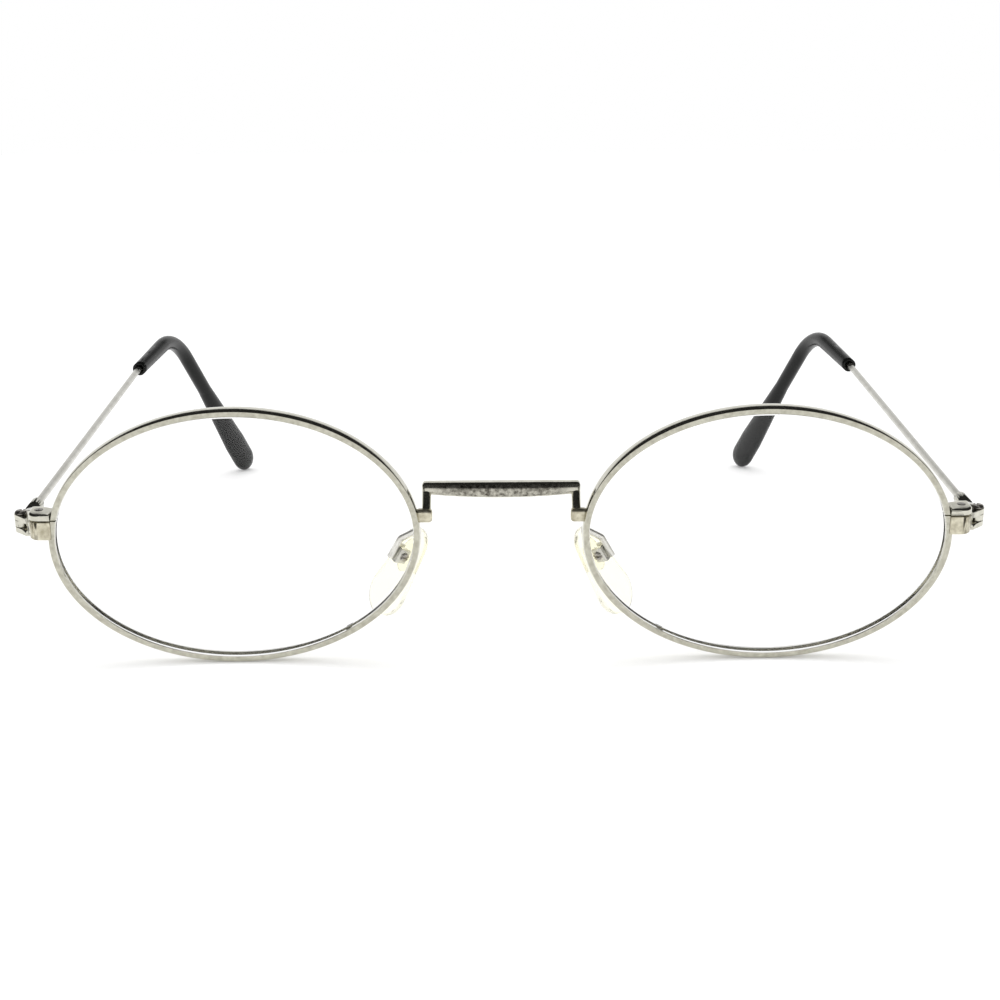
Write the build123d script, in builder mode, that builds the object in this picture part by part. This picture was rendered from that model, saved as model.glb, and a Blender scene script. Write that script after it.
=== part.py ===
from build123d import *
import math
import os

# Oval wire eyeglasses, standing open on a table. All lengths are in millimetres.
# +X is the wearer's left, -Y is forward, away from the face, and +Z is up.
# The wearer's left half is modelled, and its mirror image about the middle plane is the right half.
# The origin is on the table, below the middle of the overall box.

# Stance
front_lean = 8.5  # degrees that the top of the front leans forward

# Rims, measured in the lens plane
rim_width = 48.2
rim_height = 35.2
rim_wall = 0.95
rim_depth = 2.2
rim_half_spacing = 34.55
rim_droop = 1.7  # degrees that the temple end of each oval hangs down
rim_edge_chamfer = 0.14
groove_width = 1.3
groove_depth = 0.5
rim_split_height = 2.8
rim_split_gap = 0.2

# Lenses
lens_thickness = 2.0
lens_curve_radius = 200.0
lens_clearance = 0.03

# Bridge
bridge_bar_height = 5.75
bridge_end_gap = 0.15
bridge_setback = 2.4
bridge_middle_size = 2.2
bridge_middle_depth = 1.9
bridge_end_size = 1.6
bridge_end_depth = 1.7
bridge_end_round = 0.4
bridge_leg_size = 1.2
bridge_foot_height = 2.85
bridge_foot_size = 1.35
bridge_foot_length = 1.75
bridge_foot_reach = 0.5

# Closing blocks and endpieces
block_lap = 0.6
block_lip = 0.25
block_overhang = 2.35
block_height = 2.5
block_depth = 2.2
block_corner_radius = 1.4
block_edge_chamfer = 0.12
cover_thickness = 0.85
cover_edge_round = 0.35
strap_inner_offset = 2.5
strap_outer_offset = 4.35
strap_front_offset = 1.4
cover_length = 3.1
strap_drop = 1.75
strap_end_gap = 0.5
plate_overlap = 0.6

# Rim screws
rim_screw_radius = 0.55
rim_screw_offset = 1.1
rim_screw_setback = 0.55
rim_screw_head_radius = 0.85
rim_screw_head_height = 0.45
screw_clearance = 0.02
screw_slot_width = 0.3
screw_slot_depth = 0.22

# Hinges
hinge_setback = 7.0
hinge_offset = 5.25
hinge_middle_height = -0.5
hinge_radius = 0.95
hinge_front_knuckle = 0.7
hinge_temple_knuckle = 0.85
hinge_gap = 0.1
hinge_screw_radius = 0.45
hinge_screw_head_radius = 0.85
hinge_screw_head_height = 0.35
hinge_running_clearance = 0.05
leaf_thickness = 0.9
leaf_length = 3.8
socket_radius = 0.9
socket_start = 3.0
socket_length = 3.4

# Temples
wire_radius = 0.52
wire_inset = 0.5
wire_raise = 0.36
temple_toe_in = 0.65  # degrees
temple_rise = 6.87  # degrees
temple_run = 74.0
crook_toe_in = 7.5  # degrees, where the temple turns in ahead of its sleeve
crook_rise = 10.1  # degrees
crook_run = 21.8
temple_bend_radius = 12.5
temple_drop_back = 27.3
temple_drop_inward = 9.4
temple_end_height = 0.445

# Temple tips
sleeve_setback = 1.5
sleeve_mouth_radius = 1.14
sleeve_bend_radius = 1.3
sleeve_bore_clearance = 0.03
sleeve_mouth_chamfer = 0.3
paddle_width = 4.7
paddle_thickness = 3.0
paddle_twist = 55.0  # degrees
paddle_round_length = 3.5
wire_end_setback = 11.0

# Nose pads
pad_top_radius = 2.1
pad_bottom_radius = 3.4
pad_radius_spacing = 8.2
pad_thickness = 1.5
pad_face_round = 0.7
pad_back_round = 0.25
pad_across = 12.8
pad_below_middle = 7.55
pad_setback = 7.0
pad_splay = 35.0  # degrees, seen from above
pad_flare = 29.0  # degrees, seen from the front

# Stiff cores moulded into the pads, and their pivot screws
core_length = 5.0
core_width = 3.0
core_thickness = 0.45
core_cover = 0.4
stem_thickness = 0.9
stem_width = 1.3
pad_pivot_raise = 2.2
pad_pivot_distance = 0.85
pad_screw_radius = 0.35
pad_screw_head_radius = 0.6
pad_screw_head_height = 0.25
pad_running_clearance = 0.05

# Pad boxes and pad arms
pad_box_wall = 0.4
pad_box_side_gap = 0.1
pad_box_length = 2.0
pad_box_floor = 0.4
pad_box_floor_gap = 0.1
pad_box_front_gap = 0.3
arm_radius = 0.45
arm_sink = 0.15
arm_bend_radius = 0.9
arm_root_drop = 0.4
arm_root_run = 2.4
arm_above_box = 2.2
arm_below_pivot = 0.8

lean = math.radians(front_lean)
half_depth = rim_depth / 2
rim_centre_height = rim_height / 2 * math.cos(lean) + half_depth * math.sin(lean)

# The lens plane. Across it x is +X, its y runs up the leaning front, and its normal is forward.
front = Plane(
    origin=(0, 0, rim_centre_height),
    x_dir=(1, 0, 0),
    z_dir=(0, -math.cos(lean), -math.sin(lean)),
)


def oval_plane(side):
    """The lens plane centred on one rim and turned with its droop; side is +1 for the wearer's left."""
    return Plane(
        origin=front.from_local_coords((side * rim_half_spacing, 0, 0)),
        x_dir=front.x_dir.rotate(Axis((0, 0, 0), front.z_dir), -side * rim_droop),
        z_dir=front.z_dir,
    )


def level(height):
    """A plane square to the lens plane, at a height up the front: x across and y backward."""
    return Plane(
        origin=front.from_local_coords((0, height, 0)),
        x_dir=(1, 0, 0),
        z_dir=front.y_dir,
    )


rim_plane = oval_plane(1)
pieces = {}


def keep(name, part):
    """Files one finished piece of the middle of the frame."""
    part.label = name
    pieces[name] = part


def keep_pair(name, part):
    """Files a piece of the wearer's left half, and its mirror image for the right half."""
    keep("left_" + name, part)
    keep("right_" + name, mirror(part, about=Plane.YZ))


# Rim: an oval ring with a V groove inside, cut through at the temple side.
rim_outer_half = (rim_width / 2, rim_height / 2)
opening_half = (rim_width / 2 - rim_wall, rim_height / 2 - rim_wall)
rim_temple_x = rim_half_spacing + rim_width / 2

with BuildPart() as rim:
    with BuildSketch(rim_plane.offset(-half_depth)):
        Ellipse(*rim_outer_half)
        Ellipse(*opening_half, mode=Mode.SUBTRACT)
    extrude(amount=rim_depth)
    chamfer(rim.edges().filter_by(GeomType.ELLIPSE), length=rim_edge_chamfer)
    for shift, grow in ((-groove_width / 2, 0), (0, groove_depth), (groove_width / 2, 0)):
        with BuildSketch(rim_plane.offset(shift)):
            Ellipse(opening_half[0] + grow, opening_half[1] + grow)
    loft(ruled=True, mode=Mode.SUBTRACT)
    with BuildSketch(level(rim_split_height + rim_split_gap / 2)):
        with Locations((rim_temple_x, 0)):
            Rectangle(2 * block_overhang, 2 * rim_depth)
    extrude(amount=-rim_split_gap, mode=Mode.SUBTRACT)
keep_pair("rim", rim.part)

# Lens: a shallow meniscus with a bevel round its edge that seats in the groove.
lens_half = (opening_half[0] - lens_clearance, opening_half[1] - lens_clearance)
bevel_half_width = groove_width / 2 - lens_clearance
edge_sag = lens_half[0] ** 2 / (2 * lens_curve_radius)
lens_crown = edge_sag + bevel_half_width
lens_front_centre = rim_plane.from_local_coords((0, 0, lens_crown - lens_curve_radius))
lens_back_centre = rim_plane.from_local_coords((0, 0, lens_crown - lens_thickness - lens_curve_radius))

with BuildPart() as lens:
    with BuildSketch(rim_plane.offset(-lens_thickness - edge_sag)):
        Ellipse(*lens_half)
    extrude(amount=2 * (lens_thickness + edge_sag))
    with Locations(lens_front_centre):
        Sphere(lens_curve_radius, mode=Mode.INTERSECT)
    with Locations(lens_back_centre):
        Sphere(lens_curve_radius, mode=Mode.SUBTRACT)
    for shift, grow in ((-bevel_half_width, 0), (0, groove_depth), (bevel_half_width, 0)):
        with BuildSketch(rim_plane.offset(shift)):
            Ellipse(lens_half[0] + grow, lens_half[1] + grow)
    loft(ruled=True)
keep_pair("lens", lens.part)

# Bridge: a bar behind the lens plane that swells downward in the middle,
# and a leg under each end that leans forward to a foot on the rim.
bar_half_length = rim_half_spacing - rim_outer_half[0] - bridge_end_gap
leg_radius = bridge_leg_size / 2
leg_x = bar_half_length - leg_radius
leg_rise = bridge_bar_height - bridge_foot_height
leg_length = math.hypot(leg_rise, bridge_setback)
leg_up = (front.y_dir * leg_rise - front.z_dir * bridge_setback).normalized()
bar_sag = (bridge_middle_size - bridge_end_size) / 2
bar_bulge = (bridge_middle_depth - bridge_end_depth) / 2
bar_steps = 12
foot_width = bridge_foot_size + bridge_foot_reach
foot_x = leg_x + bridge_foot_reach / 2


def bar_section(across, swell):
    """A plane square to the bar, lowered where the bar swells so that its top edge stays straight."""
    return Plane(
        origin=front.from_local_coords((across, bridge_bar_height - bar_sag * swell, -bridge_setback)),
        x_dir=front.y_dir,
        z_dir=(1, 0, 0),
    )


with BuildPart() as bridge:
    for step in range(bar_steps + 1):
        share = 2 * step / bar_steps - 1
        swell = 1 - share ** 2
        with BuildSketch(bar_section(share * bar_half_length, swell)):
            Ellipse(bridge_end_size / 2 + bar_sag * swell, bridge_end_depth / 2 + bar_bulge * swell)
    loft(ruled=True)
    bar_ends = bridge.faces().filter_by(Axis.X)
    fillet(bar_ends.edges(), radius=bridge_end_round)
    for side in (-1, 1):
        leg_foot = front.from_local_coords((side * leg_x, bridge_foot_height, 0))
        with BuildSketch(Plane(origin=leg_foot, z_dir=leg_up)):
            Circle(leg_radius)
        extrude(amount=leg_length)
    with BuildSketch(level(bridge_foot_height - bridge_foot_length / 2)):
        with Locations((-foot_x, 0), (foot_x, 0)):
            Rectangle(foot_width, bridge_foot_size)
    extrude(amount=bridge_foot_length)
    for side in (-1, 1):
        with BuildSketch(oval_plane(side).offset(-rim_depth)):
            Ellipse(*rim_outer_half)
        extrude(amount=2 * rim_depth, mode=Mode.SUBTRACT)
keep("bridge", bridge.part)

# Closing block: the lower half of the split, soldered to the lower end of the rim,
# whose pale face shows beside the rim. Its plan also shapes the cover half above it.
lap_x = rim_temple_x - block_lap
block_x = rim_temple_x + block_overhang
block_front = -half_depth - block_lip
block_back_x = rim_temple_x + strap_front_offset
block_top = rim_split_height - rim_split_gap / 2
block_bottom = block_top - block_height
cover_bottom = rim_split_height + rim_split_gap / 2
cover_top = cover_bottom + cover_thickness
rim_screw_at = (rim_temple_x + rim_screw_offset, rim_screw_setback)

with BuildPart() as closing_block:
    with BuildSketch(level(block_bottom)):
        with BuildLine():
            Polyline(
                (lap_x, block_front),
                (block_x, block_front),
                (block_x, block_depth),
                (block_back_x, block_depth),
                (lap_x, -block_front),
                close=True,
            )
        make_face()
        fillet(vertices().sort_by(Axis.X)[-2:].sort_by(Axis.Y)[0], radius=block_corner_radius)
    extrude(amount=block_height)
    chamfer(closing_block.edges(), length=block_edge_chamfer)
    with BuildSketch(rim_plane.offset(-half_depth)):
        Ellipse(*rim_outer_half)
    extrude(amount=rim_depth, mode=Mode.SUBTRACT)
    with BuildSketch(level(block_bottom)):
        with Locations(rim_screw_at):
            Circle(rim_screw_radius + screw_clearance)
    extrude(amount=block_height, mode=Mode.SUBTRACT)
    with BuildSketch(level(block_bottom)):
        with Locations(rim_screw_at):
            Circle(rim_screw_head_radius + screw_clearance)
    extrude(amount=rim_screw_head_height, mode=Mode.SUBTRACT)
keep_pair("closing_block", closing_block.part)

# Endpiece: the cover half of the split, the strap that runs back from it,
# and the upper and lower knuckles of the hinge.
hinge_height = 2 * hinge_front_knuckle + hinge_temple_knuckle + 2 * hinge_gap
hinge_bottom = hinge_middle_height - hinge_height / 2
hinge_top = hinge_bottom + hinge_height
upper_knuckle_bottom = hinge_top - hinge_front_knuckle
hinge_at = (rim_temple_x + hinge_offset, hinge_setback)
strap_end = hinge_setback - hinge_radius - strap_end_gap
strap_inner_x = rim_temple_x + strap_inner_offset
strap_outer_x = rim_temple_x + strap_outer_offset
strap_width = strap_outer_x - strap_inner_x
strap_front = block_depth + rim_split_gap
side_plane = Plane(origin=front.origin, x_dir=-front.z_dir, z_dir=(1, 0, 0))

with BuildPart() as endpiece:
    with BuildSketch(level(hinge_bottom)):
        with BuildLine():
            Polyline(
                (lap_x, block_front),
                (block_x, block_front),
                (block_x, block_depth),
                (strap_outer_x, strap_end),
                (strap_inner_x, strap_end),
                (block_back_x, block_depth),
                (lap_x, -block_front),
                close=True,
            )
        make_face()
        fillet(vertices().sort_by(Axis.Y)[:2].sort_by(Axis.X)[-1], radius=block_corner_radius)
    extrude(amount=cover_top - hinge_bottom)
    with BuildSketch(side_plane):
        with BuildLine():
            Polyline(
                (block_front, cover_bottom),
                (block_front, cover_top),
                (block_front + cover_length, cover_top),
                (strap_end, cover_top - strap_drop),
                (strap_end, hinge_bottom),
                (strap_front, block_bottom),
                (strap_front, cover_bottom),
                close=True,
            )
        make_face()
    extrude(amount=2 * rim_temple_x, mode=Mode.INTERSECT)
    top_faces = endpiece.faces().filter_by(lambda face: face.normal_at().dot(front.y_dir) > 0.5)
    fillet(top_faces.edges(), radius=cover_edge_round)
    for bottom in (hinge_bottom, upper_knuckle_bottom):
        with BuildSketch(level(bottom)):
            with Locations(hinge_at):
                Circle(hinge_radius)
            with Locations((strap_inner_x + strap_width / 2, strap_end - plate_overlap / 2)):
                Rectangle(strap_width, plate_overlap)
            make_hull()
        extrude(amount=hinge_front_knuckle)
    with BuildSketch(rim_plane.offset(-half_depth)):
        Ellipse(*rim_outer_half)
    extrude(amount=rim_depth, mode=Mode.SUBTRACT)
    with BuildSketch(level(cover_bottom)):
        with Locations(rim_screw_at):
            Circle(rim_screw_radius + screw_clearance)
    extrude(amount=cover_thickness, mode=Mode.SUBTRACT)
    with BuildSketch(level(hinge_bottom)):
        with Locations(hinge_at):
            Circle(hinge_screw_radius + screw_clearance)
    extrude(amount=hinge_height, mode=Mode.SUBTRACT)
keep_pair("endpiece", endpiece.part)


def slotted_screw(head_plane, at, head_radius, head_height, shank_radius, shank_length):
    """A screw whose head stands on head_plane, with its shank behind the plane and a slot across it."""
    with BuildPart() as screw:
        with BuildSketch(head_plane):
            with Locations(at):
                Circle(head_radius)
        extrude(amount=head_height)
        chamfer(screw.edges().sort_by(Axis(head_plane.origin, head_plane.z_dir))[-1], length=head_height / 3)
        with BuildSketch(head_plane.offset(head_height)):
            with Locations(at):
                Rectangle(screw_slot_width, 2 * head_radius)
        extrude(amount=-screw_slot_depth, mode=Mode.SUBTRACT)
        with BuildSketch(head_plane):
            with Locations(at):
                Circle(shank_radius)
        extrude(amount=-shank_length)
    return screw.part


# Rim screw: its head is let into the underside of the closing block and its end shows in the cover.
rim_screw_plane = Plane(
    origin=level(block_bottom + rim_screw_head_height).origin,
    x_dir=(-1, 0, 0),
    z_dir=-front.y_dir,
)
rim_screw = slotted_screw(
    rim_screw_plane,
    (-rim_screw_at[0], rim_screw_at[1]),
    rim_screw_head_radius,
    rim_screw_head_height,
    rim_screw_radius,
    cover_top - block_bottom - rim_screw_head_height,
)
keep_pair("rim_screw", rim_screw)

# Hinge screw: the pivot of the temple, with its head on top of the upper knuckle.
hinge_screw = slotted_screw(
    level(hinge_top),
    hinge_at,
    hinge_screw_head_radius,
    hinge_screw_head_height,
    hinge_screw_radius,
    hinge_height,
)
keep_pair("hinge_screw", hinge_screw)

# Temple line: back and slightly inward from the hinge, a little further inward from the crook on,
# then round the bend behind the ear and down to the tip, which rests on the table.
def heading(toe_in, rise):
    """The direction back along a temple, turned inward and upward by two angles in degrees."""
    inward = math.radians(toe_in)
    upward = math.radians(rise)
    return Vector(
        -math.sin(inward) * math.cos(upward), math.cos(inward) * math.cos(upward), math.sin(upward)
    )


run = heading(temple_toe_in, temple_rise)
crook = heading(crook_toe_in, crook_rise)
wire_x = hinge_at[0] - wire_inset
temple_root = front.from_local_coords((wire_x, hinge_middle_height + wire_raise, -hinge_setback))
crook_point = temple_root + run * temple_run
bend_point = crook_point + crook * crook_run
drop = Vector(-temple_drop_inward, temple_drop_back, temple_end_height - bend_point.Z)
drop_direction = drop.normalized()
bend_tangent = temple_bend_radius * math.tan(math.radians(crook.get_angle(drop)) / 2)
wire_start = temple_root + run * (socket_start + wire_radius)
wire_end = bend_point + drop_direction * (drop.length - wire_end_setback)
sleeve_start = crook_point + crook * sleeve_setback


def wire(radius):
    """The temple wire with a radius, from its socket to its end inside the tip."""
    with BuildPart() as part:
        with BuildLine():
            FilletPolyline(wire_start, crook_point, bend_point, wire_end, radius=temple_bend_radius)
        with BuildSketch(Plane(origin=wire_start, z_dir=run)):
            Circle(radius)
        sweep()
    return part.part


# Temple: the wire, which runs on inside the tip round the bend.
temple = wire(wire_radius)
keep_pair("temple", temple)

# Temple hinge: the middle knuckle, its leaf, and the socket that the wire is soldered into.
with BuildPart() as temple_hinge:
    with BuildSketch(level(hinge_middle_height - hinge_temple_knuckle / 2)):
        with Locations(hinge_at):
            Circle(hinge_radius)
        with Locations((wire_x, hinge_setback + leaf_length / 2)):
            Rectangle(leaf_thickness, leaf_length)
    extrude(amount=hinge_temple_knuckle)
    with BuildSketch(Plane(origin=temple_root + run * socket_start, z_dir=run)):
        Circle(socket_radius)
    extrude(amount=socket_length)
    chamfer(temple_hinge.faces().sort_by(Axis.Y)[-1].edges(), length=(socket_radius - wire_radius) / 2)
    add(wire(wire_radius + screw_clearance), mode=Mode.SUBTRACT)
    with BuildSketch(level(hinge_bottom)):
        with Locations(hinge_at):
            Circle(hinge_screw_radius + hinge_running_clearance)
    extrude(amount=hinge_height, mode=Mode.SUBTRACT)
keep_pair("temple_hinge", temple_hinge.part)

# Temple tip: a round sleeve over the end of the wire, which widens and flattens to a paddle
# with a rounded end.
toward_nose = Vector(-1, 0, 0)
flat_direction = (toward_nose - drop_direction * toward_nose.dot(drop_direction)).normalized()
wide_direction = flat_direction.rotate(Axis((0, 0, 0), drop_direction), paddle_twist)
# The paddle starts to widen at the first share of the way down the drop, and is widest at the second.
paddle_widening_shares = (0.27, 0.76)
round_angles = (0, 25, 45, 62, 78)  # degrees round the rounded end
drop_span = drop.length - bend_tangent


def down_the_drop(distance):
    """A plane square to the drop, at a distance below the bend, with x across the paddle."""
    return Plane(
        origin=bend_point + drop_direction * (bend_tangent + distance),
        x_dir=wide_direction,
        z_dir=drop_direction,
    )


with BuildPart() as temple_tip:
    with BuildLine() as sleeve_route:
        FilletPolyline(
            sleeve_start, bend_point, bend_point + drop, radius=temple_bend_radius
        )
    bend_arc = sleeve_route.edges().filter_by(GeomType.CIRCLE)[0]
    with BuildSketch(Plane(origin=sleeve_start, z_dir=crook)):
        Circle(sleeve_mouth_radius)
    with BuildSketch(Plane(origin=bend_arc @ 0, z_dir=crook)):
        Circle(sleeve_bend_radius)
    loft()
    with BuildSketch(Plane(origin=bend_arc @ 0, z_dir=crook)):
        Circle(sleeve_bend_radius)
    sweep(path=bend_arc)
    with BuildSketch(down_the_drop(0)):
        Circle(sleeve_bend_radius)
    extrude(amount=drop_span * paddle_widening_shares[0])
    with BuildSketch(down_the_drop(drop_span * paddle_widening_shares[0])):
        Circle(sleeve_bend_radius)
    with BuildSketch(down_the_drop(drop_span * paddle_widening_shares[1])):
        Ellipse(paddle_width / 2, paddle_thickness / 2)
    loft()
    with BuildSketch(down_the_drop(drop_span * paddle_widening_shares[1])):
        Ellipse(paddle_width / 2, paddle_thickness / 2)
    extrude(amount=drop_span * (1 - paddle_widening_shares[1]) - paddle_round_length)
    for angle in round_angles:
        round_share = math.sin(math.radians(angle))
        size_share = math.cos(math.radians(angle))
        with BuildSketch(down_the_drop(drop_span - paddle_round_length * (1 - round_share))):
            Ellipse(size_share * paddle_width / 2, size_share * paddle_thickness / 2)
    loft()
    add(wire(wire_radius + sleeve_bore_clearance), mode=Mode.SUBTRACT)
    mouth = temple_tip.faces().sort_by(Axis.Y)[0]
    chamfer(mouth.inner_wires()[0].edges(), length=sleeve_mouth_chamfer)
keep_pair("temple_tip", temple_tip.part)

# Nose pads. A pad's own plane has its normal toward the nose, y up the pad and x toward the front.
flare = math.radians(pad_flare)
splay = math.radians(pad_splay)
pad_up = front.y_dir * math.cos(flare) - front.x_dir * math.sin(flare)
pad_inward = front.x_dir * -math.cos(flare) - front.y_dir * math.sin(flare)
pad_normal = pad_inward * math.cos(splay) - front.z_dir * math.sin(splay)
pad_plane = Plane(
    origin=front.from_local_coords((pad_across, -pad_below_middle, -pad_setback)),
    x_dir=pad_up.cross(pad_normal),
    z_dir=pad_normal,
)
pivot_depth = pad_thickness + pad_pivot_distance
plate_depth = pad_thickness - core_cover
stem_plane = Plane(
    origin=pad_plane.from_local_coords((-stem_thickness / 2, pad_pivot_raise, 0)),
    x_dir=pad_up,
    z_dir=pad_plane.x_dir,
)

# Pad core: the plate moulded into the pad, and the stem with the eye for the pad screw.
with BuildPart() as pad_core:
    with BuildSketch(pad_plane.offset(-plate_depth)):
        with Locations((0, pad_pivot_raise)):
            Ellipse(core_width / 2, core_length / 2)
    extrude(amount=core_thickness)
    with BuildSketch(stem_plane):
        with Locations((0, -pivot_depth)):
            Circle(stem_width / 2)
        with Locations((0, -(pivot_depth + plate_depth) / 2)):
            Rectangle(stem_width, pivot_depth - plate_depth)
    extrude(amount=stem_thickness)
    with BuildSketch(stem_plane):
        with Locations((0, -pivot_depth)):
            Circle(pad_screw_radius + pad_running_clearance)
    extrude(amount=stem_thickness, mode=Mode.SUBTRACT)
keep_pair("pad_core", pad_core.part)

# Nose pad: a soft drop-shaped cushion moulded round the core.
with BuildPart() as nose_pad:
    with BuildSketch(pad_plane.offset(-pad_thickness)):
        with Locations((0, pad_radius_spacing / 2)):
            Circle(pad_top_radius)
        with Locations((0, -pad_radius_spacing / 2)):
            Circle(pad_bottom_radius)
        make_hull()
    extrude(amount=pad_thickness)
    pad_faces = nose_pad.faces().sort_by(Axis(pad_plane.origin, pad_normal))
    fillet(pad_faces[-1].edges(), radius=pad_face_round)
    pad_faces = nose_pad.faces().sort_by(Axis(pad_plane.origin, pad_normal))
    fillet(pad_faces[0].edges(), radius=pad_back_round)
    add(pad_core.part, mode=Mode.SUBTRACT)
keep_pair("nose_pad", nose_pad.part)

# Pad box: a channel whose two cheeks hold the stem and the pad screw.
box_floor_top = -(pivot_depth + stem_width / 2 + pad_box_floor_gap)
box_floor_bottom = box_floor_top - pad_box_floor
box_front = -(pad_thickness + pad_box_front_gap)
box_slot = stem_thickness + 2 * pad_box_side_gap
box_width = box_slot + 2 * pad_box_wall
cheek_plane = Plane(
    origin=pad_plane.from_local_coords((-box_width / 2, pad_pivot_raise, -pivot_depth)),
    x_dir=pad_up,
    z_dir=pad_plane.x_dir,
)

arm_depth = box_floor_bottom - arm_radius + arm_sink


def along_box(raise_above_pivot):
    """A point on the line of the pad arm behind the pad box."""
    return pad_plane.from_local_coords((0, pad_pivot_raise + raise_above_pivot, arm_depth))


# Pad arm: a wire from the back of the rim, down behind the lens and along the back of the pad box.
root_reach = math.sqrt(1 - (arm_root_drop / rim_outer_half[1]) ** 2)
arm_root_x = rim_half_spacing - (rim_outer_half[0] - rim_wall / 2) * root_reach
arm_root = front.from_local_coords((arm_root_x, -arm_root_drop, -half_depth))
arm_route = (
    arm_root,
    arm_root - front.z_dir * arm_root_run,
    along_box(arm_above_box),
    along_box(-arm_below_pivot),
)

with BuildPart() as pad_arm:
    with BuildLine():
        FilletPolyline(*arm_route, radius=arm_bend_radius)
    with BuildSketch(Plane(origin=arm_root, z_dir=-front.z_dir)):
        Circle(arm_radius)
    sweep()
keep_pair("pad_arm", pad_arm.part)

with BuildPart() as pad_box:
    with BuildSketch(pad_plane.offset(box_floor_bottom)):
        with Locations((0, pad_pivot_raise)):
            Rectangle(box_width, pad_box_length)
    extrude(amount=box_front - box_floor_bottom)
    with BuildSketch(pad_plane.offset(box_floor_top)):
        with Locations((0, pad_pivot_raise)):
            Rectangle(box_slot, 2 * pad_box_length)
    extrude(amount=box_front - box_floor_top, mode=Mode.SUBTRACT)
    with BuildSketch(cheek_plane):
        Circle(pad_screw_radius + screw_clearance)
    extrude(amount=box_width, mode=Mode.SUBTRACT)
    add(pad_arm.part, mode=Mode.SUBTRACT)
keep_pair("pad_box", pad_box.part)

# Pad screw: the pivot of the pad, with its head on the front cheek.
pad_screw = slotted_screw(
    cheek_plane.offset(box_width),
    (0, 0),
    pad_screw_head_radius,
    pad_screw_head_height,
    pad_screw_radius,
    box_width,
)
keep_pair("pad_screw", pad_screw)

# The origin moves to the bottom centre of the overall box.
boxes = [part.bounding_box() for part in pieces.values()]
front_end = min(box.min.Y for box in boxes)
rear_end = max(box.max.Y for box in boxes)
table = min(box.min.Z for box in boxes)
to_origin = Location((0, -(front_end + rear_end) / 2, -table))

os.makedirs("parts", exist_ok=True)
for name, part in pieces.items():
    placed = part.moved(to_origin)
    placed.label = name
    export_step(placed, f"parts/{name}.step")
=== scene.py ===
import math

import bpy
from mathutils import Matrix, Vector


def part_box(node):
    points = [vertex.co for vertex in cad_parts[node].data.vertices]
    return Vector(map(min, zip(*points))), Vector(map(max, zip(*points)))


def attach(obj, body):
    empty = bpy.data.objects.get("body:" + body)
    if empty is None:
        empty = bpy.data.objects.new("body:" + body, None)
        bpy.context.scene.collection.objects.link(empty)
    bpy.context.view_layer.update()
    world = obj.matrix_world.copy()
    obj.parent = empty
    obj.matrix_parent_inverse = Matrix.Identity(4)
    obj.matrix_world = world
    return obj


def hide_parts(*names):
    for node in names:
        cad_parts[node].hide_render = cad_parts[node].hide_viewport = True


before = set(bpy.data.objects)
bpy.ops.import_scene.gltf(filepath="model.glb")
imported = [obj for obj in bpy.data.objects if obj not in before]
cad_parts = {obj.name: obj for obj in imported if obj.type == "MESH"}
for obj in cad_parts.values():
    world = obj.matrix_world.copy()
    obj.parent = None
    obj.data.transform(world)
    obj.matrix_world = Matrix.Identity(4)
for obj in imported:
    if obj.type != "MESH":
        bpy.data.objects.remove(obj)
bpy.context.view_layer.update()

# Oval wire eyeglasses, standing open on a white table. Lengths are in metres, in the frame's own place:
# +X is the wearer's left, -Y is forward, away from the face, and +Z is up.
mm = 0.001
merge_distance = 0.0005 * mm
sides = (("left_", 1), ("right_", -1))
across = Vector((1, 0, 0))
rim_middle = sum(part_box("left_rim"), Vector()) / 2
nose_middle = Vector((0, rim_middle.y, rim_middle.z))


def facing(x_axis, y_axis, z_axis, origin):
    """A place as a matrix: where a piece's own three axes point, and where its origin is."""
    return Matrix.Translation(origin) @ Matrix((x_axis, y_axis, z_axis)).transposed().to_4x4()


# The camera, placed from the middle of the rims so that the picture lies over the photograph.
camera_place = nose_middle + Vector((-2.723, -214.773, 53.431)) * mm
camera_turn = math.radians(-0.676)      # the line of sight's turn about +Z
camera_dip = math.radians(12.784)       # how far the line of sight dips
camera_roll = math.radians(-0.21)
lens_length = 61.27                     # millimetres, for a film 36 mm wide

sight_back = Vector((
    math.sin(camera_turn) * math.cos(camera_dip),
    -math.cos(camera_turn) * math.cos(camera_dip),
    math.sin(camera_dip),
))
level_right = Vector((0, 0, 1)).cross(sight_back).normalized()
level_up = sight_back.cross(level_right)
film_right = level_right * math.cos(camera_roll) + level_up * math.sin(camera_roll)
film_up = level_up * math.cos(camera_roll) - level_right * math.sin(camera_roll)

camera_data = bpy.data.cameras.new("camera")
camera_data.lens = lens_length
camera_data.sensor_width = 36
camera_data.clip_start = 0.01
camera = bpy.data.objects.new("camera", camera_data)
camera.matrix_world = facing(film_right, film_up, sight_back, camera_place)
bpy.context.collection.objects.link(camera)
bpy.context.scene.camera = camera
bpy.context.scene.view_settings.view_transform = "Standard"


# Materials
def colour(hex_code):
    """The linear colour of an sRGB hex code."""
    parts = [int(hex_code[i:i + 2], 16) / 255 for i in (1, 3, 5)]
    linear = [c / 12.92 if c <= 0.04045 else ((c + 0.055) / 1.055) ** 2.4 for c in parts]
    return (*linear, 1)


def node(tree, kind, links=(), **settings):
    """Adds a node.

    settings are its properties, or the values of its inputs by name. links are pairs of input and output.
    """
    added = tree.nodes.new(kind)
    for name, value in settings.items():
        if hasattr(added, name):
            setattr(added, name, value)
        else:
            added.inputs[name.replace("_", " ")].default_value = value
    for socket, output in links:
        tree.links.new(output, added.inputs[socket])
    return added


def new_material(name):
    """An empty material, its tree and its output node."""
    material = bpy.data.materials.new(name)
    material.use_nodes = True
    material.node_tree.nodes.clear()
    return material, material.node_tree, node(material.node_tree, "ShaderNodeOutputMaterial")


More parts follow.
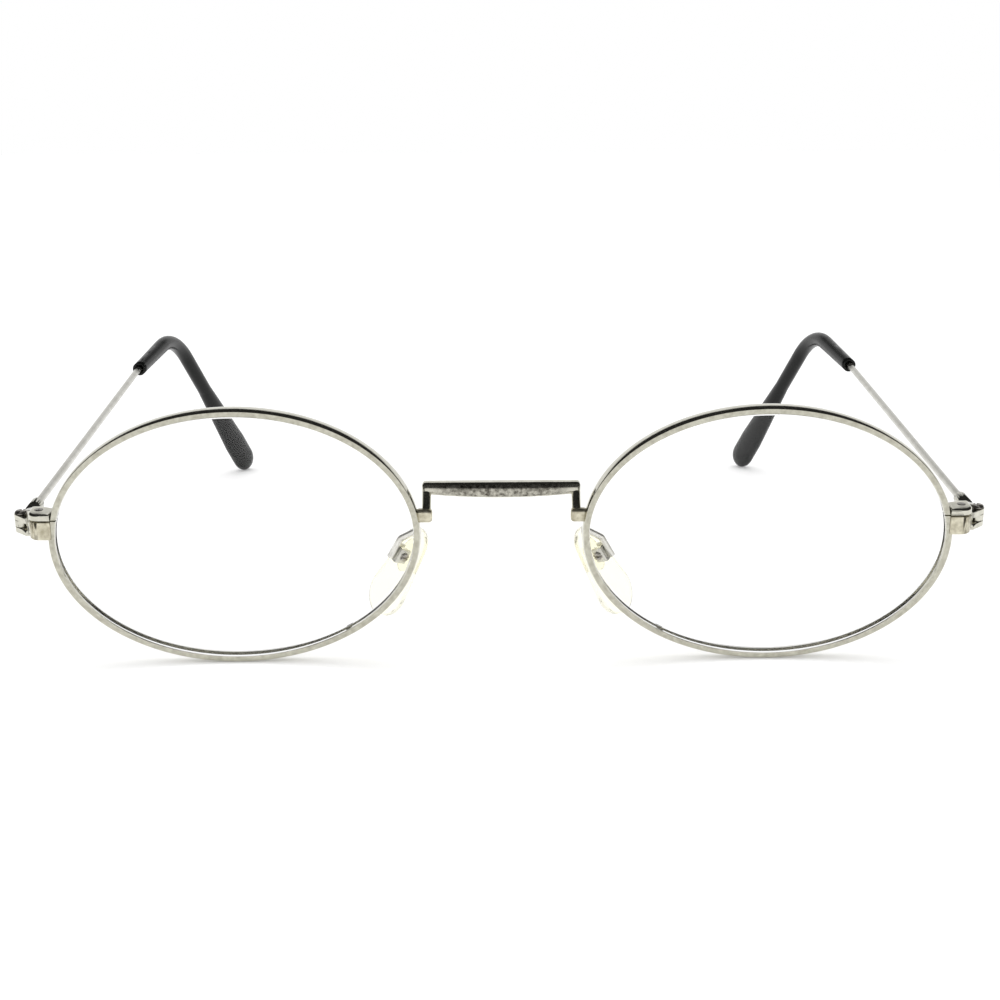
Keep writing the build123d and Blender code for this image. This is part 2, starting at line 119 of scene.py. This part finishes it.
plate_relief = 0.01 * mm                # the depth of the draw lines in the plate
dark_patch_level = 0.3                  # the haze below which the plate has its dark tint
pale_patch_level = 0.7                  # the haze above which it has its pale tint


def plated_wire(name, pale, dark, roughness, streak_mm, bump, patch_mm=2.5, fade_mm=None):
    """Nickel plate over drawn wire: nearly a mirror, with a warm tint, faint draw lines and a thin haze.

    fade_mm gives two distances from the middle of the glasses, between which the dark patches fade out.
    """
    material, tree, output = new_material(name)
    place = node(tree, "ShaderNodeTexCoord").outputs["Object"]
    haze = node(tree, "ShaderNodeTexNoise", [("Vector", place)], Scale=1 / (patch_mm * mm), Detail=3.0)
    lines = node(tree, "ShaderNodeTexNoise", [("Vector", place)], Scale=1 / (streak_mm * mm), Detail=2.0)
    patches = haze.outputs["Fac"]
    if fade_mm:
        sideways = node(tree, "ShaderNodeSeparateXYZ", [("Vector", place)]).outputs["X"]
        distance = node(tree, "ShaderNodeMath", [(0, sideways)], operation="ABSOLUTE")
        fading = node(
            tree, "ShaderNodeMapRange", [("Value", distance.outputs[0])],
            From_Min=fade_mm[0] * mm, From_Max=fade_mm[1] * mm,
        )
        faded = node(
            tree, "ShaderNodeMath", [(0, patches), (1, fading.outputs["Result"])],
            operation="MAXIMUM",
        )
        patches = faded.outputs[0]
    tint = node(tree, "ShaderNodeValToRGB", [("Fac", patches)])
    tint.color_ramp.elements[0].position = dark_patch_level
    tint.color_ramp.elements[1].position = pale_patch_level
    tint.color_ramp.elements[0].color = colour(dark)
    tint.color_ramp.elements[1].color = colour(pale)
    gloss = node(
        tree, "ShaderNodeMapRange", [("Value", haze.outputs["Fac"])],
        To_Min=roughness * 0.8, To_Max=roughness * 1.3,
    )
    relief = node(
        tree, "ShaderNodeBump", [("Height", lines.outputs["Fac"])],
        Strength=bump, Distance=plate_relief,
    )
    shader = node(
        tree, "ShaderNodeBsdfPrincipled",
        [("Base Color", tint.outputs["Color"]), ("Roughness", gloss.outputs["Result"]),
         ("Normal", relief.outputs["Normal"])],
        Metallic=1.0,
    )
    tree.links.new(shader.outputs["BSDF"], output.inputs["Surface"])
    return material


# Polished nickel plate on the outside of the rims, the bridge and the hinges: bright and warm.
polished_nickel = plated_wire("polished_nickel_plate", "#D3D1C5", "#BDBBAE", 0.12, 0.15, 0.2, 0.8)
# The front faces of the rims have the same plate, duller, and tinted darker than their outside as painted
# shade.
painted_shade_nickel = plated_wire("painted_shade_nickel_plate", "#C3C1B3", "#A9A698", 0.2, 0.15, 0.4, 0.6)
# The same plate over the drawn wire of the temples and on the pad boxes, a little duller.
drawn_nickel = plated_wire("nickel_plated_drawn_wire", "#D2D1CA", "#B8B6AE", 0.24, 0.12, 0.35)
# The thin wire of the pad arms was bent and then polished, so it looks brighter and whiter.
bright_nickel = plated_wire("bright_nickel_plated_wire", "#EDECE6", "#D6D4CC", 0.28, 0.12, 0.3)
# Plate worn by fingers on the front of the bridge, in dark patches that fade out toward its ends.
worn_nickel = plated_wire("worn_nickel_plate", "#C3C0B4", "#454139", 0.26, 0.2, 0.9, 0.5, (4.0, 11.0))
# The closing blocks and the feet of the bridge are ground and plated, so they look pale and even.
ground_nickel = plated_wire("ground_nickel_plated_block", "#DDD8C4", "#A39C86", 0.36, 0.2, 0.6, 0.9)
# Turned steel screws, a little darker than the plate.
turned_steel = plated_wire("turned_steel", "#B4B0A8", "#8F8B84", 0.3, 0.08, 0.5)

plastic_relief = 0.02 * mm              # the depth of the ripples in a moulded clear surface


def clear_plastic(name, tint, ior, roughness, speck_mm, bump):
    """A clear plastic that lets light through to the table behind it."""
    material, tree, output = new_material(name)
    place = node(tree, "ShaderNodeTexCoord").outputs["Object"]
    specks = node(tree, "ShaderNodeTexNoise", [("Vector", place)], Scale=1 / (speck_mm * mm), Detail=2.0)
    gloss = node(
        tree, "ShaderNodeMapRange", [("Value", specks.outputs["Fac"])],
        To_Min=roughness * 0.6, To_Max=roughness * 1.4,
    )
    wave = node(
        tree, "ShaderNodeBump", [("Height", specks.outputs["Fac"])],
        Strength=bump, Distance=plastic_relief,
    )
    shader = node(
        tree, "ShaderNodeBsdfPrincipled",
        [("Roughness", gloss.outputs["Result"]), ("Normal", wave.outputs["Normal"])],
        Base_Color=colour(tint), IOR=ior, Transmission_Weight=1.0,
    )
    open_way = node(tree, "ShaderNodeBsdfTransparent", Color=colour(tint))
    path = node(tree, "ShaderNodeLightPath")
    both = node(tree, "ShaderNodeMixShader", [(0, path.outputs["Is Shadow Ray"])])
    tree.links.new(shader.outputs["BSDF"], both.inputs[1])
    tree.links.new(open_way.outputs["BSDF"], both.inputs[2])
    tree.links.new(both.outputs["Shader"], output.inputs["Surface"])
    return material


# Cast and polished allyl resin: clear, hard and smooth.
clear_resin = clear_plastic("clear_lens_resin", "#FEFEFE", 1.22, 0.004, 6.0, 0.02)
# Moulded soft vinyl, which has yellowed a little and scatters the light slightly.
soft_vinyl = clear_plastic("clear_soft_vinyl", "#FEFCEC", 1.18, 0.15, 0.8, 0.3)
# The stiff core in each pad, moulded of clear polycarbonate, shows only as a faint outline.
core_plastic = clear_plastic("clear_polycarbonate", "#FDFBEC", 1.2, 0.1, 0.5, 0.2)

cloud_size = 5 * mm
rub_mark_size = 0.25 * mm
rub_mark_relief = 0.01 * mm


def black_propionate(name):
    """Injection-moulded black cellulose propionate: deep black, glossy, with hairline rubbing marks."""
    material, tree, output = new_material(name)
    place = node(tree, "ShaderNodeTexCoord").outputs["Object"]
    cloud = node(tree, "ShaderNodeTexNoise", [("Vector", place)], Scale=1 / cloud_size, Detail=4.0)
    marks = node(tree, "ShaderNodeTexNoise", [("Vector", place)], Scale=1 / rub_mark_size, Detail=3.0)
    tint = node(tree, "ShaderNodeValToRGB", [("Fac", cloud.outputs["Fac"])])
    tint.color_ramp.elements[0].color = colour("#0A0B0A")
    tint.color_ramp.elements[1].color = colour("#131413")
    gloss = node(
        tree, "ShaderNodeMapRange", [("Value", cloud.outputs["Fac"])],
        To_Min=0.16, To_Max=0.34,
    )
    relief = node(
        tree, "ShaderNodeBump", [("Height", marks.outputs["Fac"])],
        Strength=0.12, Distance=rub_mark_relief,
    )
    shader = node(
        tree, "ShaderNodeBsdfPrincipled",
        [("Base Color", tint.outputs["Color"]), ("Roughness", gloss.outputs["Result"]),
         ("Normal", relief.outputs["Normal"])],
        IOR=1.3,
    )
    tree.links.new(shader.outputs["BSDF"], output.inputs["Surface"])
    return material


tip_plastic = black_propionate("black_cellulose_propionate")


# Pieces
def pick(piece):
    """Selects one piece alone and makes it the active one."""
    bpy.ops.object.select_all(action="DESELECT")
    piece.select_set(True)
    bpy.context.view_layer.objects.active = piece


def merge_points(piece, turn_outward):
    """Merges the doubled points of a piece, and turns the faces of a new, closed one outward."""
    pick(piece)
    bpy.ops.object.mode_set(mode="EDIT")
    bpy.ops.mesh.select_all(action="SELECT")
    bpy.ops.mesh.remove_doubles(threshold=merge_distance)
    if turn_outward:
        bpy.ops.mesh.normals_make_consistent(inside=False)
    bpy.ops.object.mode_set(mode="OBJECT")


def give_finish(piece, material, body, stands_for):
    """Gives a piece its material and body, and lets it stand for a CAD node, if one is named."""
    piece.data.materials.clear()
    piece.data.materials.append(material)
    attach(piece, body)
    if stands_for:
        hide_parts(stands_for)


def dressed(name, body, material, crease=35):
    """A smooth, merged copy of a CAD node in its real finish, which stands for the node."""
    piece = bpy.data.objects.new(name + "_finished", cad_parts[name].data.copy())
    bpy.context.collection.objects.link(piece)
    merge_points(piece, turn_outward=False)
    bpy.ops.object.shade_smooth_by_angle(angle=math.radians(crease))
    even = piece.modifiers.new("even_normals", "WEIGHTED_NORMAL")
    even.keep_sharp = True
    bpy.ops.object.modifier_apply(modifier="even_normals")
    give_finish(piece, material, body, name)


def settle(piece, place, material, body, crease, stands_for=None):
    """Puts a new piece in its place and gives it its finish."""
    piece.matrix_world = place
    pick(piece)
    bpy.ops.object.transform_apply(location=True, rotation=True, scale=True)
    merge_points(piece, turn_outward=True)
    bpy.ops.object.shade_smooth_by_angle(angle=math.radians(crease))
    give_finish(piece, material, body, stands_for)


def finish_front(piece, material, limit):
    """Gives the forward faces, whose normal's y is below the limit, a finish of their own."""
    piece.data.materials.append(material)
    for face in piece.data.polygons:
        if face.normal.y < limit:
            face.material_index = 1


def ring_stack(name, rings, steps, capped=()):
    """Rings of (half width, half height, z), each extruded from the last. A capped end runs to a point."""
    bpy.ops.object.select_all(action="DESELECT")
    bpy.ops.mesh.primitive_circle_add(vertices=steps, radius=1, fill_type="NOTHING", enter_editmode=True)
    wide, high, level = rings[0]
    bpy.ops.transform.resize(value=(wide, high, 1))
    bpy.ops.transform.translate(value=(0, 0, level))
    for next_wide, next_high, next_level in rings[1:]:
        bpy.ops.mesh.extrude_edges_move(TRANSFORM_OT_translate={"value": (0, 0, next_level - level)})
        bpy.ops.transform.resize(
            value=(next_wide / wide, next_high / high, 1), center_override=(0, 0, next_level)
        )
        wide, high, level = next_wide, next_high, next_level
    if "last" in capped:
        bpy.ops.mesh.extrude_edges_move(TRANSFORM_OT_translate={"value": (0, 0, 0)})
        bpy.ops.mesh.merge(type="CENTER")
    bpy.ops.mesh.select_all(action="SELECT")
    bpy.ops.mesh.remove_doubles(threshold=merge_distance)
    if "first" in capped:
        bpy.ops.mesh.select_all(action="DESELECT")
        bpy.ops.mesh.select_non_manifold()
        bpy.ops.mesh.extrude_edges_move(TRANSFORM_OT_translate={"value": (0, 0, 0)})
        bpy.ops.mesh.merge(type="CENTER")
        bpy.ops.mesh.select_all(action="SELECT")
    bpy.ops.mesh.normals_make_consistent(inside=False)
    bpy.ops.object.mode_set(mode="OBJECT")
    piece = bpy.context.object
    piece.name = name
    return piece


# The front leans forward on its rims, and each oval droops a little toward its temple.
front_lean = math.radians(8.5)
rim_droop = math.radians(1.7)
front_forward = Vector((0, -math.cos(front_lean), -math.sin(front_lean)))
front_up = Vector((0, -math.sin(front_lean), math.cos(front_lean)))


def lens_plane(side):
    """The plane of one rim as a matrix: x along the oval, y up it and z forward out of its face."""
    along = Matrix.Rotation(-side * rim_droop, 3, front_forward) @ across
    middle = Vector((side * rim_middle.x, rim_middle.y, rim_middle.z))
    return facing(along, front_forward.cross(along), front_forward, middle)


# The rims
rim_half_width = 24.1 * mm
rim_half_height = 17.6 * mm
rim_half_depth = 1.1 * mm
rim_wall = 0.95 * mm
rim_steps = 256
groove_half_width = 0.65 * mm
groove_depth = 0.5 * mm
crown = 0.12 * mm           # how far the outside of the rim wire is crowned
crown_steps = 6             # on each side of the middle
outer_round = 0.15 * mm
inner_round = 0.04 * mm
lip_flare = 0.06 * mm       # how far the lips of the groove open outward
painted_shade_from = -0.9          # faces of the rim that look this far forward get the darker tint, painted shade
split_height = 2.8 * mm
split_gap = 0.2 * mm
saw_reach = 3 * mm          # along the oval, across the rim wire


def rim_profile():
    """The section of the rim wire, as (inset from the outer oval, z), once round."""
    crown_half = rim_half_depth - outer_round
    crowned = []
    for step in range(-crown_steps, crown_steps + 1):
        share = step / crown_steps
        crowned.append((crown * share ** 2, crown_half * share))
    front = []
    for angle in (35, 55, 75, 90):
        turn = math.radians(angle)
        inset = crown + outer_round * (1 - math.cos(turn))
        front.append((inset, crown_half + outer_round * math.sin(turn)))
    lip = rim_wall - lip_flare
    front.append((lip - inner_round, rim_half_depth))
    front.append((lip - 0.3 * inner_round, rim_half_depth - 0.3 * inner_round))
    front.append((lip, rim_half_depth - inner_round))
    front.append((rim_wall, groove_half_width))
    back = [(inset, -z) for inset, z in reversed(front)]
    return crowned + front + [(rim_wall - groove_depth, 0)] + back + crowned[:1]


def cut_split(rim, side):
    """Saws the rim through at its temple side, behind the closing blocks."""
    bpy.ops.object.select_all(action="DESELECT")
    bpy.ops.mesh.primitive_cube_add(size=1, location=(0, 0, 0))
    saw = bpy.context.object
    saw.scale = (saw_reach, 2.5 * rim_half_depth, split_gap)
    saw.rotation_euler = (front_lean, 0, 0)
    temple_side = Vector((side * (rim_middle.x + rim_half_width), rim_middle.y, rim_middle.z))
    saw.location = temple_side + front_up * split_height
    bpy.context.view_layer.objects.active = rim
    cut = rim.modifiers.new("split", "BOOLEAN")
    cut.operation = "DIFFERENCE"
    cut.solver = "EXACT"
    cut.object = saw
    bpy.ops.object.modifier_apply(modifier="split")
    bpy.data.objects.remove(saw)


# The lenses
lens_radius = 200 * mm
lens_thickness = 2.0 * mm
lens_gap = 0.03 * mm
lens_steps = 192
lens_shares = (1, 0.99, 0.96, 0.9, 0.8, 0.68, 0.54, 0.4, 0.26, 0.12, 0.04)    # its rings, edge to middle
lens_half_width = rim_half_width - rim_wall - lens_gap
lens_half_height = rim_half_height - rim_wall - lens_gap
bevel_half_width = groove_half_width - lens_gap
lens_crown = lens_half_width ** 2 / (2 * lens_radius) + bevel_half_width


def lens_piece(name):
    """A clear lens: two curved faces, a short edge wall and the bevel that seats in the groove."""
    halves = []
    for front in (1, -1):
        rings = [
            (lens_half_width + groove_depth, lens_half_height + groove_depth, 0),
            (lens_half_width, lens_half_height, front * bevel_half_width),
        ]
        for share in lens_shares:
            rings.append((lens_half_width * share, lens_half_height * share, front * 2 * bevel_half_width))
        half = ring_stack(name + str(front), rings, lens_steps, capped=("last",))
        top = lens_crown - lens_radius - (0 if front > 0 else lens_thickness)
        for vertex in half.data.vertices:
            x, y, z = vertex.co
            if abs(z) > 1.5 * bevel_half_width:
                vertex.co.z = top + math.sqrt(lens_radius ** 2 - x ** 2 - y ** 2)
        halves.append(half)
    pick(halves[0])
    halves[1].select_set(True)
    bpy.ops.object.join()
    halves[0].name = name
    return halves[0]


for side, sign in sides:
    rings = [(rim_half_width - inset, rim_half_height - inset, z) for inset, z in rim_profile()]
    rim = ring_stack(side + "rim_wire", rings, rim_steps)
    settle(rim, lens_plane(sign), polished_nickel, "front", 30, side + "rim")
    cut_split(rim, sign)
    # The forward faces of each rim get the darker tint, painted shade.
    finish_front(rim, painted_shade_nickel, painted_shade_from)
    lens = lens_piece(side + "lens_resin")
    settle(lens, lens_plane(sign), clear_resin, "front", 20, side + "lens")


# The nose pads
pad_top_radius = 2.1 * mm
pad_bottom_radius = 3.4 * mm
pad_spacing = 8.2 * mm      # between the middles of its top and bottom arcs
pad_across = 12.8 * mm
pad_below_middle = 7.55 * mm
pad_setback = 7.0 * mm
pad_splay = math.radians(35)
pad_flare = math.radians(29)
pad_steps = 96
# Each ring of a pad: its share of the full outline, and its z in millimetres, from the back to the face.
pad_rings = (
    (0.05, -1.5), (0.5, -1.5), (0.86, -1.5), (0.93, -1.47), (0.98, -1.36), (1, -1.1), (1, -0.8),
    (0.985, -0.5), (0.94, -0.26), (0.86, -0.1), (0.74, -0.02), (0.5, 0.0), (0.25, 0.0), (0.06, 0.0),
)


def pad_plane(side):
    """The face of one nose pad as a matrix: x toward the front, y up the pad and z toward the nose."""
    pad_up = front_up * math.cos(pad_flare) - across * math.sin(pad_flare)
    inward = across * -math.cos(pad_flare) - front_up * math.sin(pad_flare)
    normal = inward * math.cos(pad_splay) - front_forward * math.sin(pad_splay)
    middle = nose_middle + across * pad_across - front_up * pad_below_middle
    middle -= front_forward * pad_setback
    place = facing(pad_up.cross(normal), pad_up, normal, middle)
    return place if side > 0 else Matrix.Scale(-1, 4, (1, 0, 0)) @ place


def pad_piece(name):
    """A soft pad: a drop outline with a crowned face, rounded all round, as moulded."""
    rings = [(share, share, z * mm) for share, z in pad_rings]
    pad = ring_stack(name, rings, pad_steps, capped=("first", "last"))
    top_start = (pad_bottom_radius - pad_top_radius) / pad_spacing
    for vertex in pad.data.vertices:
        x, y, z = vertex.co
        share = math.hypot(x, y)
        if share > 0.001:
            above = y / share > top_start
            radius = pad_top_radius if above else pad_bottom_radius
            middle = math.copysign(pad_spacing / 2, 1 if above else -1)
            vertex.co = (x * radius, y * radius + share * middle, z)
    return pad


for side, sign in sides:
    pad = pad_piece(side + "pad_vinyl")
    settle(pad, pad_plane(sign), soft_vinyl, side + "pad_body", 60, side + "nose_pad")


# The bridge
bar_height = 5.75 * mm
bar_half_length = 10.3 * mm
bar_setback = 2.4 * mm
bar_end_half = (0.76 * mm, 0.95 * mm)       # half its height and half its depth
bar_middle_half = (1.05 * mm, 1.1 * mm)
bar_flat_power = 0.4        # gives the back of the bar its flat faces
bar_round_power = 0.95      # and its front its round one
bar_round_from = 0.955      # the share of its half length from which an end is rounded off
bar_end_least = 0.5         # what is left of its section at the very end
bar_steps = 64
bar_end_shares = (0.955, 0.975, 0.99, 0.997, 1)
worn_from = -0.62           # faces that look this far forward are worn
leg_radius = 0.6 * mm
leg_across = bar_half_length - leg_radius
leg_steps = 48
leg_into_bar = 0.2 * mm     # how far above the bar's middle a leg starts
leg_into_foot = 0.3 * mm    # how far below the foot's middle it ends
leg_ahead = 0.1 * mm        # how far ahead of the foot's middle it ends
foot_height = 2.85 * mm
foot_width = 2.1 * mm
foot_depth = 1.35 * mm
foot_tall = 1.75 * mm
foot_shift = 0.3 * mm
foot_rounding = 0.45 * mm
front_plane = facing(across, front_forward.cross(across), front_forward, nose_middle)


def bar_point(share, angle):
    """A point of the bridge's bar: flat on top and behind, round in front, and deeper in the middle."""
    swell = 1 - share ** 2
    high = bar_end_half[0] + (bar_middle_half[0] - bar_end_half[0]) * swell
    deep = bar_end_half[1] + (bar_middle_half[1] - bar_end_half[1]) * swell
    near_end = max(0.0, (abs(share) - bar_round_from) / (1 - bar_round_from))
    shrink = math.sqrt(max(0.0, 1 - near_end ** 2)) * (1 - bar_end_least) + bar_end_least
    power = bar_flat_power if math.cos(angle) < 0 else bar_round_power
    forward = math.copysign(abs(math.cos(angle)) ** power, math.cos(angle)) * deep * shrink
    upward = math.copysign(abs(math.sin(angle)) ** power, math.sin(angle)) * high * shrink
    level = bar_height - (high - bar_end_half[0])
    return Vector((share * bar_half_length, level + upward, forward - bar_setback))


def bar_piece(name):
    """The bar as a stack of rings along the nose, closed at both ends."""
    shares = [-share for share in reversed(bar_end_shares)]
    shares += [-0.9 + 0.1 * i for i in range(19)]
    shares += bar_end_shares
    bar = ring_stack(name, [(1, 1, share) for share in shares], bar_steps, capped=("first", "last"))
    for vertex in bar.data.vertices:
        x, y, share = vertex.co
        radius = math.hypot(x, y)
        centre = (bar_point(share, 0) + bar_point(share, math.pi)) / 2
        vertex.co = centre if radius < 0.5 else bar_point(share, math.atan2(y, x))
    return bar


def leg_piece(name, side):
    """A leg: a round wire from the bar's end down and forward to the foot."""
    top = Vector((side * leg_across, bar_height + leg_into_bar, -bar_setback))
    foot = Vector((side * leg_across, foot_height - leg_into_foot, leg_ahead))
    bpy.ops.object.select_all(action="DESELECT")
    bpy.ops.mesh.primitive_cylinder_add(vertices=leg_steps, radius=leg_radius, depth=(top - foot).length)
    leg = bpy.context.object
    leg.name = name
    leg.data.transform((top - foot).to_track_quat("Z", "Y").to_matrix().to_4x4())
    leg.data.transform(Matrix.Translation((top + foot) / 2))
    return leg


def foot_piece(name, side):
    """A foot: a small block with all its edges rounded over, as solder leaves it."""
    bpy.ops.object.select_all(action="DESELECT")
    bpy.ops.mesh.primitive_cube_add(size=1)
    foot = bpy.context.object
    foot.name = name
    foot.data.transform(Matrix.Diagonal((foot_width, foot_tall, foot_depth, 1)))
    foot.data.transform(Matrix.Translation((side * (leg_across + foot_shift), foot_height, 0)))
    rounding = foot.modifiers.new("rounding", "BEVEL")
    rounding.width = foot_rounding
    rounding.segments = 6
    bpy.ops.object.modifier_apply(modifier="rounding")
    return foot


bar = bar_piece("bridge_bar")
settle(bar, front_plane, polished_nickel, "front", 50, "bridge")
finish_front(bar, worn_nickel, worn_from)
for side, sign in sides:
    leg = leg_piece(side + "bridge_leg", sign)
    settle(leg, front_plane, polished_nickel, "front", 40)
    foot = foot_piece(side + "bridge_foot", sign)
    settle(foot, front_plane, ground_nickel, "front", 60)

# The nodes that keep their CAD shape
for side, sign in sides:
    dressed(side + "closing_block", "front", ground_nickel)
    dressed(side + "endpiece", "front", polished_nickel)
    dressed(side + "rim_screw", "front", turned_steel)
    dressed(side + "hinge_screw", "front", turned_steel)
    dressed(side + "pad_arm", "front", bright_nickel)
    dressed(side + "pad_box", "front", drawn_nickel)
    dressed(side + "pad_screw", "front", turned_steel)
    dressed(side + "temple_hinge", side + "temple_body", polished_nickel)
    dressed(side + "temple", side + "temple_body", drawn_nickel)
    dressed(side + "temple_tip", side + "temple_body", tip_plastic, 40)
    dressed(side + "pad_core", side + "pad_body", core_plastic)

# The table, which shows white in the picture, in the metal and through the lenses, and keeps its shadows.
table_glow = 0.15
bpy.ops.object.select_all(action="DESELECT")
bpy.ops.mesh.primitive_plane_add(size=6, location=(0, 0, 0))
table = bpy.context.object
table.name = "table"

white_table, tree, output = new_material("white_table")
matt = node(tree, "ShaderNodeBsdfDiffuse", Color=colour("#F0F0F0"))
glow = node(tree, "ShaderNodeEmission", Color=(1, 1, 1, 1), Strength=table_glow)
path = node(tree, "ShaderNodeLightPath")
seen = node(
    tree, "ShaderNodeMath", [(0, path.outputs["Is Camera Ray"]), (1, path.outputs["Is Glossy Ray"])],
    operation="MAXIMUM",
)
seen = node(
    tree, "ShaderNodeMath", [(0, seen.outputs[0]), (1, path.outputs["Is Transmission Ray"])],
    operation="MAXIMUM",
)
lit = node(tree, "ShaderNodeAddShader")
tree.links.new(matt.outputs["BSDF"], lit.inputs[0])
tree.links.new(glow.outputs["Emission"], lit.inputs[1])
both = node(tree, "ShaderNodeMixShader", [(0, seen.outputs[0])])
tree.links.new(matt.outputs["BSDF"], both.inputs[1])
tree.links.new(lit.outputs["Shader"], both.inputs[2])
tree.links.new(both.outputs["Shader"], output.inputs["Surface"])
table.data.materials.append(white_table)

# What the polished metal mirrors: white walls all round and a dark ceiling, which comes lower in front
# and at both sides. Everything else sees plain white.
ceiling_side_drop = 0.4
ceiling_front_drop = 0.131
ceiling_edge = (0.47, 0.56)             # the heights between which white turns to dark
ceiling_dark = (0.02, 0.02, 0.02, 1)

world = bpy.data.worlds.new("studio")
world.use_nodes = True
bpy.context.scene.world = world
sky = world.node_tree
sky.nodes.clear()
direction = node(sky, "ShaderNodeTexCoord").outputs["Generated"]
either_side = node(sky, "ShaderNodeVectorMath", [(0, direction)], operation="ABSOLUTE")
lower = node(sky, "ShaderNodeVectorMath", [(0, either_side.outputs["Vector"])], operation="DOT_PRODUCT")
lower.inputs[1].default_value = (ceiling_side_drop, 0, 0)
height = node(sky, "ShaderNodeVectorMath", [(0, direction)], operation="DOT_PRODUCT")
height.inputs[1].default_value = (0, -ceiling_front_drop, 1)
level = node(
    sky, "ShaderNodeMath", [(0, height.outputs["Value"]), (1, lower.outputs["Value"])],
    operation="ADD",
)
ceiling = node(sky, "ShaderNodeValToRGB", [("Fac", level.outputs[0])])
ceiling.color_ramp.elements[0].position = ceiling_edge[0]
ceiling.color_ramp.elements[0].color = (1, 1, 1, 1)
ceiling.color_ramp.elements[1].position = ceiling_edge[1]
ceiling.color_ramp.elements[1].color = ceiling_dark
path = node(sky, "ShaderNodeLightPath")
mirrored = node(sky, "ShaderNodeBackground", [("Color", ceiling.outputs["Color"])], Strength=1.0)
white = node(sky, "ShaderNodeBackground", Color=(1, 1, 1, 1), Strength=1.0)
reflected = node(sky, "ShaderNodeMixShader", [(0, path.outputs["Is Glossy Ray"])])
sky.links.new(white.outputs["Background"], reflected.inputs[1])
sky.links.new(mirrored.outputs["Background"], reflected.inputs[2])
# A ray through a lens also counts as glossy, so what is seen straight or through a lens is set last.
clear = node(
    sky, "ShaderNodeMath", [(0, path.outputs["Is Camera Ray"]), (1, path.outputs["Is Transmission Ray"])],
    operation="MAXIMUM",
)
shown = node(sky, "ShaderNodeMixShader", [(0, clear.outputs[0])])
sky.links.new(reflected.outputs["Shader"], shown.inputs[1])
sky.links.new(white.outputs["Background"], shown.inputs[2])
world_output = node(sky, "ShaderNodeOutputWorld")
sky.links.new(shown.outputs["Shader"], world_output.inputs["Surface"])

# One soft box overhead, a little behind the glasses, which the metal doesn't mirror.
lamp_place = Vector((0, 0.15, 0.75))
lamp = bpy.data.lights.new("overhead", "AREA")
lamp.shape = "SQUARE"
lamp.size = 0.7
lamp.energy = 1.5
holder = bpy.data.objects.new("overhead", lamp)
holder.location = lamp_place
holder.visible_glossy = False
holder.rotation_euler = (-lamp_place).to_track_quat("-Z", "Y").to_euler()
bpy.context.collection.objects.link(holder)
